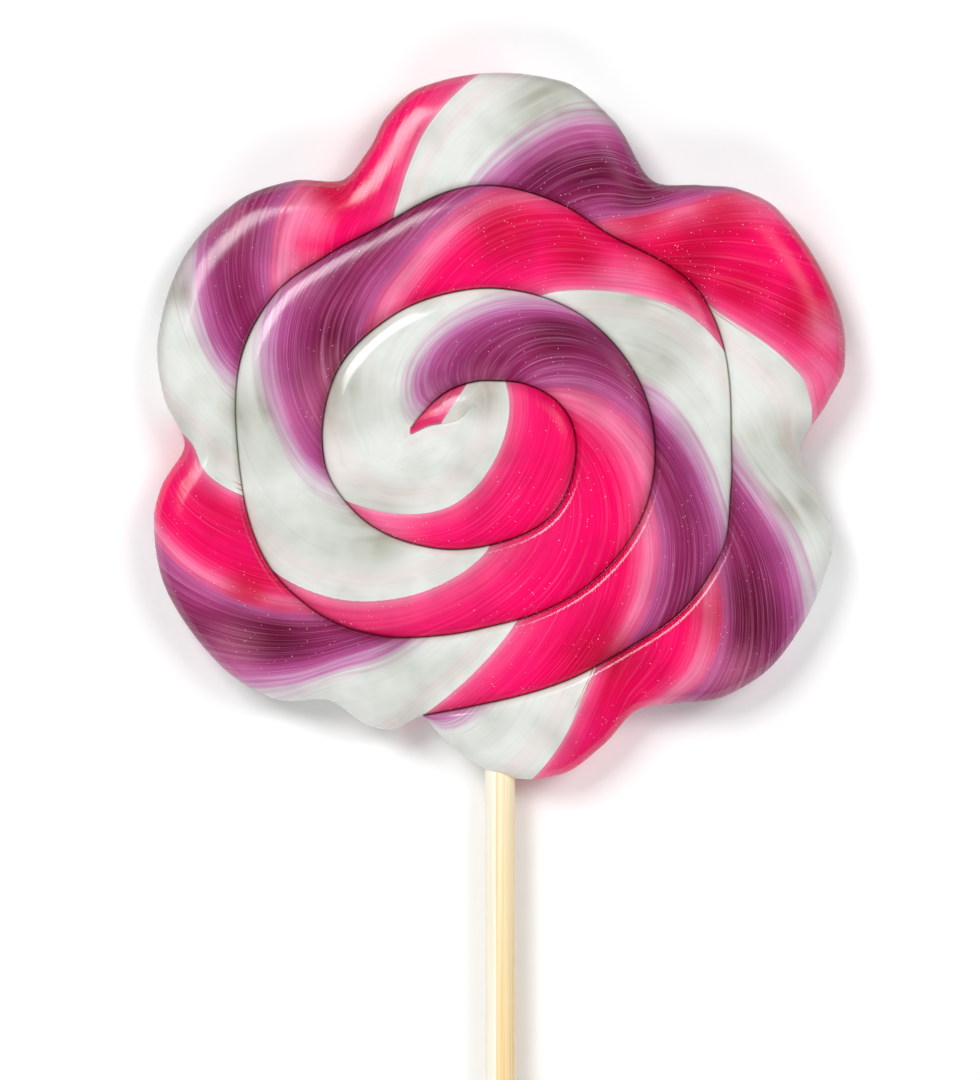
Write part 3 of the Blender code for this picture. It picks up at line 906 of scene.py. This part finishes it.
def sugar_zones(tree, clean, turn):
    """How much a place belongs to each colour, 0 to 1."""
    white = add(tree, RANGE, SMOOTH, (clean, *WHITE_ENDS, 1.0, 0.0))[0]
    # A deep place takes away the pale edge of the pink as well.
    past_purple = add(tree, RANGE, SMOOTH, (turn, *DEEP_PINK))[0]
    before_white = add(tree, RANGE, SMOOTH, (clean, *PINK_ENDS, 1.0, 0.0))[0]
    return SimpleNamespace(
        white=white,
        coloured=add(tree, MATH, MINUS, (1.0, white))[0],
        purple=band(tree, turn, PURPLE_STARTS, PURPLE_ENDS, PURPLE_LEFT),
        dark=band(tree, clean, DARK_STARTS, DARK_ENDS),
        pink=band(tree, clean, PINK_STARTS, PINK_ENDS),
        deep_pink=product(tree, past_purple, before_white),
    )


def sugar_air(tree, deep, air_and_painted_light, zones, noise):
    """Clear, deep colours where less air was folded in, and grey white and pale pink where there is more.
    Some of the grey is painted shade and some of the pale is painted highlight.
    """
    cloudy = add(tree, RANGE, SMOOTH, (noise.clouds, *GREY_CLOUDS))[0]
    streaked = add(tree, RANGE, SMOOTH, (noise.broad, *GREY_STREAKS))[0]
    paler = add(tree, MATH, TIMES_PLUS, (zones.pink, *PALE_PLACES_IN_PINK))[0]
    silken = add(tree, RANGE, SMOOTH, (noise.silk, *PALE_PLACES_ON_SILK))[0]
    return [
        ("MULTIPLY", product(tree, deep, zones.dark), DEEP_PURPLE_LEAVES),
        ("MIX", product(tree, deep, zones.deep_pink), rgb("d4003c")),
        # Grey in the white: air, and painted shade in the fold's dimple and at the top lobe's right shoulder.
        ("MULTIPLY", product(tree, air_and_painted_light, zones.white, cloudy, streaked), rgb("bfbcb0")),
        # Pale in pink and purple: air, and painted highlights and lit rims in some places.
        ("SCREEN", product(tree, air_and_painted_light, zones.coloured, paler, silken), PALE_AND_PAINTED_LIGHT_ADDS),
    ]


def sugar_silk(tree, zones, noise):
    """Fine silk lines, paler where more air was folded in. They show most in the purple."""
    silky = add(tree, MATH, HELD_TIMES_PLUS, (noise.silk, *SILK_LINE))[0]
    thread = add(tree, MATH, HELD_TIMES_PLUS, (noise.hair, *THREAD))[0]
    pale_silk = product(tree, silky, SILK_ON_PURPLE)
    pale = add(tree, MATH, TIMES_PLUS, (thread, THREAD_ON_PURPLE, pale_silk))[0]
    thin = add(tree, MATH, HELD_TIMES_PLUS, (noise.hair, *THIN_LINE))[0]
    faint = add(tree, MATH, HELD_TIMES_PLUS, (noise.silk, *FAINT_LINE))[0]
    dim = add(tree, MATH, HELD_TIMES_PLUS, (noise.clouds, *DIM_CLOUD))[0]
    return [
        ("SCREEN", add(tree, MATH, HELD_TIMES, (pale, zones.purple))[0], SILK_ADDS),
        ("SCREEN", product(tree, thread, THREAD_ON_PINK, zones.pink), THREAD_ADDS_TO_PINK),
        ("MULTIPLY", product(tree, thin, THIN_ON_COLOUR, zones.coloured), THIN_LINE_LEAVES),
        ("MULTIPLY", product(tree, faint, FAINT_ON_WHITE, zones.white), rgb("dfe0da")),
        ("MULTIPLY", dim, rgb("d6d8d1")),
    ]


def painted_crease_and_rim_shade(tree, edges, place, zones):
    """Painted shade: dark lines down in the creases and the fold, browner between white turns, a softer
    painted shade next to each crease in the coloured stripes, and painted shade round the rim.
    """
    crease = add(tree, RANGE, SMOOTH, (edges["X"], *PAINTED_CREASE_SHADE))[0]
    shade_next_to_crease = add(tree, RANGE, SMOOTH, (edges["X"], *PAINTED_SHADE_NEXT_TO_CREASE))[0]
    painted_rim_shade = add(tree, RANGE, SMOOTH, (edges["Y"], *RIM_SHADE))[0]
    shade_away_from_stick = add(tree, RANGE, SMOOTH, (place["Y"], *RIM_SHADE_FAR_SIDE))[0]
    above_wall = add(tree, RANGE, SMOOTH, (edges["Y"], *RIM_SHADE_ABOVE_WALL))[0]
    return [
        # Painted shade: a soft band next to each crease in colour, and a dark line down in the creases and
        # the fold.
        ("MULTIPLY", product(tree, shade_next_to_crease, zones.coloured), CREASE_SIDE_SHADE_LEAVES),
        ("MULTIPLY", product(tree, crease, zones.coloured), COLOURED_CREASE_SHADE_LEAVES),
        ("MULTIPLY", product(tree, crease, zones.white), WHITE_CREASE_SHADE_LEAVES),
        # Painted shade round the rim, stronger away from the stick and gone down the wall.
        ("MULTIPLY", product(tree, painted_rim_shade, shade_away_from_stick, above_wall), RIM_SHADE_LEAVES),
    ]


def sugar_glaze(tree, edges):
    """The glaze is rubbed dull down in the creases and round the rim."""
    off_crease = add(tree, RANGE, SMOOTH, (edges["X"], *GLAZE_OFF_CREASE))[0]
    off_rim = add(tree, RANGE, SMOOTH, (edges["Y"], *GLAZE_OFF_RIM))[0]
    on_wall = add(tree, RANGE, SMOOTH, (edges["Y"], *GLAZE_ON_WALL))[0]
    return product(tree, off_crease, add(tree, MATH, {"operation": "MAXIMUM"}, (off_rim, on_wall))[0])


def boiled_sugar():
    """Pulled and twisted boiled sugar. The air in it makes it satiny, and its stripes are drawn into silk."""
    material, tree = new_material("boiled_sugar_pulled")
    flow = add(tree, "ShaderNodeUVMap", {"uv_map": "flow"})["UV"]
    edges = add(tree, PARTS, {}, (add(tree, "ShaderNodeUVMap", {"uv_map": "edges"})["UV"],))
    tints = add(tree, PARTS, {}, (add(tree, "ShaderNodeUVMap", {"uv_map": "tints"})["UV"],))
    here = add(tree, "ShaderNodeTexCoord")["Object"]
    noise = SimpleNamespace(
        broad=sugar_streaks(tree, flow, *BROAD),
        silk=sugar_streaks(tree, flow, *SILK),
        hair=sugar_streaks(tree, flow, *HAIR),
        clouds=add(tree, NOISE, {}, {"Vector": here, "Scale": CLOUDS_TO_A_M, "Detail": 3.0})[0],
    )
    clean, turn = sugar_turns(tree, add(tree, PARTS, {}, (flow,))["X"], noise.broad, noise.silk)
    zones = sugar_zones(tree, clean, turn)
    base = sugar_stripes(tree, clean, turn)
    layers = sugar_air(tree, tints["X"], tints["Y"], zones, noise)
    layers += sugar_silk(tree, zones, noise)
    layers += painted_crease_and_rim_shade(tree, edges, add(tree, PARTS, {}, (here,)), zones)
    for blend, amount, colour in layers:
        settings = {"data_type": "RGBA", "blend_type": blend}
        base = add(tree, MIX, settings, {0: amount, 6: base, 7: colour})[2]

    # The silk lines stand up a little, and more in the coloured stripes than in the white.
    height = product(tree, noise.silk, SILK_HEIGHT)
    height = add(tree, MATH, TIMES_PLUS, (noise.hair, HAIR_HEIGHT, height))[0]
    in_colour = add(tree, MATH, TIMES_PLUS, (zones.coloured, *HEIGHT_IN_COLOUR))[0]
    height = product(tree, height, in_colour)
    bump = {"Height": height, "Strength": 0.6, "Distance": 0.1 * MM}
    glaze_bump = {"Height": height, "Strength": 0.32, "Distance": 0.1 * MM}
    surface = {
        "Base Color": base,
        "Roughness": add(tree, MATH, TIMES_PLUS, (noise.silk, *SILK_ROUGHNESS))[0],
        "IOR": 1.5,
        "Specular IOR Level": 0.1,
        "Subsurface Weight": 0.18,
        "Subsurface Radius": (1.0, 0.45, 0.5),
        "Subsurface Scale": 1.5 * MM,
        "Normal": add(tree, "ShaderNodeBump", {}, bump)[0],
        "Coat Weight": sugar_glaze(tree, edges),
        "Coat Roughness": 0.14,
        "Coat Normal": add(tree, "ShaderNodeBump", {}, glaze_bump)[0],
    }
    shader = add(tree, PRINCIPLED, {}, surface)["BSDF"]
    add(tree, MATERIAL_OUT, {}, {"Surface": shader})
    return material


# A bubble's tint changes over about 1 mm.
BUBBLE_TINTS_TO_A_M = 900.0


def air_in_sugar():
    """Trapped air. A bubble just under the glaze throws back a pale point of light."""
    material, tree = new_material("sugar_with_air")
    here = add(tree, "ShaderNodeTexCoord")["Object"]
    drift = add(tree, NOISE, {}, {"Vector": here, "Scale": BUBBLE_TINTS_TO_A_M, "Detail": 1.0})[0]
    stops = [(0.35, "d79bb6"), (0.5, "ecc9d8"), (0.65, "f8eff2")]
    colour = add(tree, RAMP, {}, (drift,), stops)[0]
    shader = add(tree, PRINCIPLED, {}, {"Base Color": colour, "Roughness": 0.25, "IOR": 1.5})["BSDF"]
    add(tree, MATERIAL_OUT, {}, {"Surface": shader})
    return material


# The stick's own colours: fine and coarse fibres, in mm across, and how many to a metre of length.
FINE_FIBRE = 0.28
COARSE_FIBRE = 1.1
FIBRE_LENGTHS_TO_A_M = 22
# The paler side is the left third of the stick, up to about 0.55 mm from its middle.
PALE_SIDE_ENDS = (-0.65, -0.45)
# Down the stick, between these places in metres, the yellower side grows yellower still.
YELLOWER = (-0.045, -0.09)
YELLOWER_BY = 0.6
# The border between the two sides wavers to and fro, in mm.
WAVER = (0.5, -0.25)


def bamboo_fibres(tree, here, width, shift):
    """Noise drawn out along the stick, with fibres of this width in mm."""
    across = 1000.0 / width
    inputs = {"Vector": here, "Scale": (across, FIBRE_LENGTHS_TO_A_M, across), "Location": (shift, 0, 0)}
    drawn = add(tree, "ShaderNodeMapping", {}, inputs)[0]
    return add(tree, NOISE, {}, {"Vector": drawn, "Scale": 1.0, "Detail": 3.0})[0]


def bamboo():
    """Split and turned bamboo: straight fibres, pale on the left third and yellower on the rest."""
    material, tree = new_material("bamboo_turned")
    here = add(tree, "ShaderNodeTexCoord")["Object"]
    place = add(tree, PARTS, {}, (here,))
    fine = bamboo_fibres(tree, here, FINE_FIBRE, 0.0)
    coarse = bamboo_fibres(tree, here, COARSE_FIBRE, 7.0)
    waver = add(tree, MATH, TIMES_PLUS, (coarse, *WAVER))[0]
    sideways = add(tree, MATH, PLUS, (product(tree, place["X"], 1 / MM), waver))[0]
    towards_yellow = add(tree, RANGE, SMOOTH, (sideways, *PALE_SIDE_ENDS))[0]
    down = add(tree, RANGE, SMOOTH, (place["Y"], *YELLOWER))[0]
    pale_stops = [(0.3, "f9eed4"), (0.5, "fef8e8"), (0.7, "fffbf0")]
    yellow_stops = [(0.28, "f2d29a"), (0.42, "fce6b8"), (0.55, "fff2d2"), (0.72, "fce4b6")]
    pale_side = add(tree, RAMP, {}, (fine,), pale_stops)[0]
    yellow_side = add(tree, RAMP, {}, (fine,), yellow_stops)[0]
    darker = {"data_type": "RGBA", "blend_type": "MULTIPLY"}
    yellow_side = add(tree, MIX, darker, {0: product(tree, down, YELLOWER_BY), 6: yellow_side, 7: rgb("fbe4b8")})[2]
    both = add(tree, MIX, AS_COLOUR, {0: towards_yellow, 6: pale_side, 7: yellow_side})[2]
    bump = add(tree, "ShaderNodeBump", {}, {"Height": fine, "Strength": 0.4, "Distance": 0.12 * MM})[0]
    surface = {"Base Color": both, "Roughness": 0.5, "IOR": 1.45, "Normal": bump}
    add(tree, MATERIAL_OUT, {}, {"Surface": add(tree, PRINCIPLED, {}, surface)["BSDF"]})
    return material


def studio_paper():
    """Matt white paper: it gives a soft shadow and no gloss."""
    material, tree = new_material("paper_matt")
    shader = add(tree, PRINCIPLED, {}, {"Base Color": rgb("fdfdfd"), "Roughness": 0.9})["BSDF"]
    add(tree, MATERIAL_OUT, {}, {"Surface": shader})
    return material


FLOOR_HALF = 1.5
WORLD_LIGHT = 0.06


def build_floor():
    mesh = bpy.data.meshes.new("floor")
    corners = [(x * FLOOR_HALF, y * FLOOR_HALF, 0) for x, y in ((-1, -1), (1, -1), (1, 1), (-1, 1))]
    mesh.from_pydata(corners, [], [(0, 1, 2, 3)])
    mesh.materials.append(studio_paper())
    link_to_scene("floor", mesh)


def build_light(name, place, size, power, glossy=True):
    """An area lamp that faces the swirl, with its place and size in metres and its power in watts."""
    data = bpy.data.lights.new(name, "AREA")
    data.shape = "RECTANGLE"
    data.size = size[0]
    data.size_y = size[1]
    data.energy = power
    light = link_to_scene(name, data)
    light.location = place
    light.visible_glossy = glossy
    light.rotation_euler = (-Vector(place)).to_track_quat("-Z", "Y").to_euler()


def build_studio():
    build_floor()
    build_light("softbox_left", (-0.35, 0.35, 0.63), (0.36, 0.36), 4.1)
    # These two sit behind diffusing cloth and only fill, and a dim one gives the right side its gloss.
    build_light("fill_right", (0.42, 0.25, 0.63), (0.38, 0.44), 1.9, glossy=False)
    build_light("fill_low", (-0.1, -0.65, 0.45), (0.7, 0.4), 3.3, glossy=False)
    build_light("softbox_right", (0.42, 0.25, 0.63), (0.20, 0.30), 1.1)
    world = bpy.data.worlds.new("studio")
    world.use_nodes = True
    background = world.node_tree.nodes["Background"]
    background.inputs["Color"].default_value = (1, 1, 1, 1)
    background.inputs["Strength"].default_value = WORLD_LIGHT
    bpy.context.scene.world = world
    bpy.context.scene.view_settings.view_transform = "Standard"


# The camera looks straight down. The photograph takes in 980 by 1080 pixels at 0.131 mm each, and
# the swirl's middle is at pixel 500, 427.
PIXEL = 0.131
PHOTO_HEIGHT = 1080
MIDDLE_X = (490 - 500) * PIXEL
MIDDLE_Y = (427 - 540) * PIXEL
CAMERA_DISTANCE = 900.0
TOP_PLANE = 7.0
SENSOR = 24.0


def build_camera():
    data = bpy.data.cameras.new("camera")
    data.sensor_fit = "VERTICAL"
    data.sensor_height = SENSOR
    data.lens = SENSOR * CAMERA_DISTANCE / (PHOTO_HEIGHT * PIXEL)
    data.clip_end = 10
    camera = link_to_scene("camera", data)
    camera.location = (MIDDLE_X * MM, MIDDLE_Y * MM, (CAMERA_DISTANCE + TOP_PLANE) * MM)
    bpy.context.scene.camera = camera


build_camera()
build_studio()

sugar = boiled_sugar()
plain_candy = build_candy()
ridge_values = {"Depth": RIDGE_DEPTH, "Ridges": RIDGES_TO_A_STRIPE, "Seed": RIDGE_SEED}
candy = grown("pulled_candy_ridged", plain_candy.data, ridge_tree(sugar), ridge_values)
bpy.data.objects.remove(plain_candy)
speck_values = {
    "Specks to a cm2": SPECKS_TO_A_CM2,
    "Smallest": SPECK_RADIUS[0],
    "Largest": SPECK_RADIUS[1],
    "Sink": SPECK_SINK,
    "Seed": SPECK_SEED,
}
specks = grown("air_specks", candy.data, speck_tree(air_in_sugar()), speck_values)
stick = build_stick(bamboo())

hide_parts("candy_swirl")
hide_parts("bamboo_stick")
for piece in (candy, specks, stick):
    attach(piece, "root")
